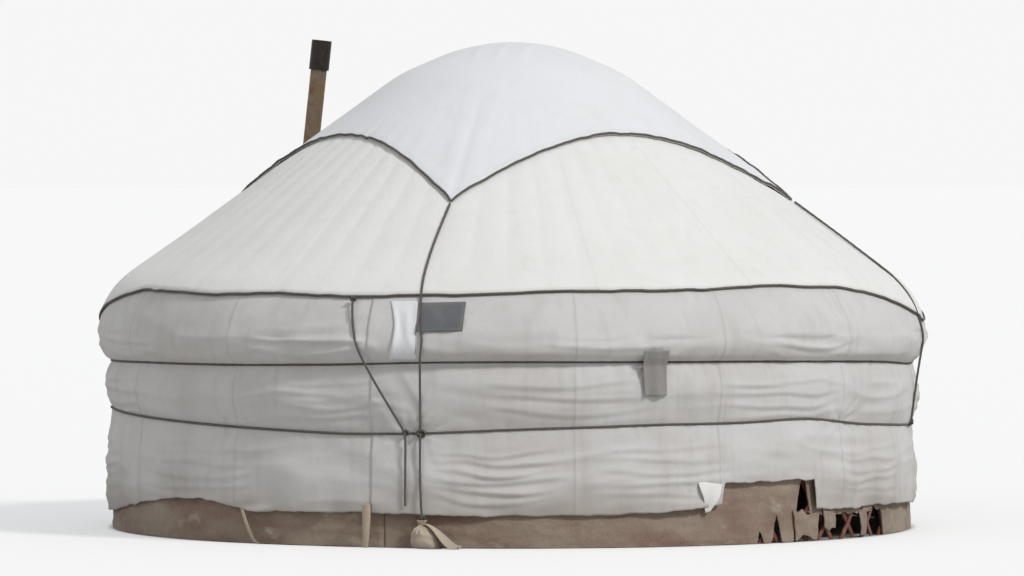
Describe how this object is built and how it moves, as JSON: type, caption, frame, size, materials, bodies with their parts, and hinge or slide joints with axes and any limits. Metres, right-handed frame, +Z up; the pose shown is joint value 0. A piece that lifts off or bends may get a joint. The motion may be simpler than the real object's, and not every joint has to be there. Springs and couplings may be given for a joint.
{
  "type": "yurt",
  "caption": "Round trellis tent with a folding lattice wall, bent roof poles seated in a domed crown ring, felt and canvas covers, a square crown cover, ropes and a stovepipe.",
  "frame": {"origin": "on the ground at the centre of the round floor, under the crown", "axes": "+Z up, +Y out through the doorway, +X to the right for someone who looks along +Y"},
  "size_m": [6.0358, 6.0514, 3.5377],
  "materials": {
    "lath_wood": "worn red-brown paint on split willow laths",
    "pole_wood": "worn red-brown paint",
    "frame_wood": "worn red-brown paint",
    "felt": "thick matted wool felt, dirty at the foot",
    "wall_canvas": "sun-bleached cotton canvas, dusty low down",
    "roof_canvas": "sun-bleached cotton canvas",
    "crown_cloth": "doubled canvas over felt, edged with cord",
    "curtain_cloth": "rolled canvas and felt",
    "rope": "twisted hair rope",
    "sack_cloth": "coarse cloth",
    "pipe_metal": "rusted and sooty sheet steel",
    "pipe_cap_metal": "sooty sheet steel",
    "flashing_metal": "dull tin plate"
  },
  "bodies": {
    "root": {"crown_bars": "pole_wood", "crown_cover": "crown_cloth", "crown_ring": "pole_wood", "crown_rope_back": "rope", "crown_rope_front": "rope", "crown_rope_left": "rope", "crown_rope_right": "rope", "door_curtain": "curtain_cloth", "door_jamb_left": "frame_wood", "door_jamb_right": "frame_wood", "door_lintel": "frame_wood", "door_sill": "frame_wood", "lattice_section_1": "lath_wood", "lattice_section_2": "lath_wood", "lattice_section_3": "lath_wood", "lattice_section_4": "lath_wood", "lattice_section_5": "lath_wood", "lattice_section_6": "lath_wood", "pipe_cap": "pipe_cap_metal", "pipe_flashing": "flashing_metal", "roof_cover_back": "roof_canvas", "roof_cover_front": "roof_canvas", "roof_felt_back": "felt", "roof_felt_front": "felt", "roof_poles_1": "pole_wood", "roof_poles_2": "pole_wood", "roof_poles_3": "pole_wood", "roof_poles_4": "pole_wood", "roof_poles_5": "pole_wood", "roof_poles_6": "pole_wood", "roof_poles_door": "pole_wood", "stove_pipe": "pipe_metal", "waist_rope_lower": "rope", "waist_rope_upper": "rope", "wall_cover_back_left": "wall_canvas", "wall_cover_back_right": "wall_canvas", "wall_cover_front_left": "wall_canvas", "wall_cover_front_right": "wall_canvas", "wall_felt_back_left": "felt", "wall_felt_back_right": "felt", "wall_felt_front_left": "felt", "wall_felt_front_right": "felt", "weight_sack": "sack_cloth"}
  },
  "joints": []
}
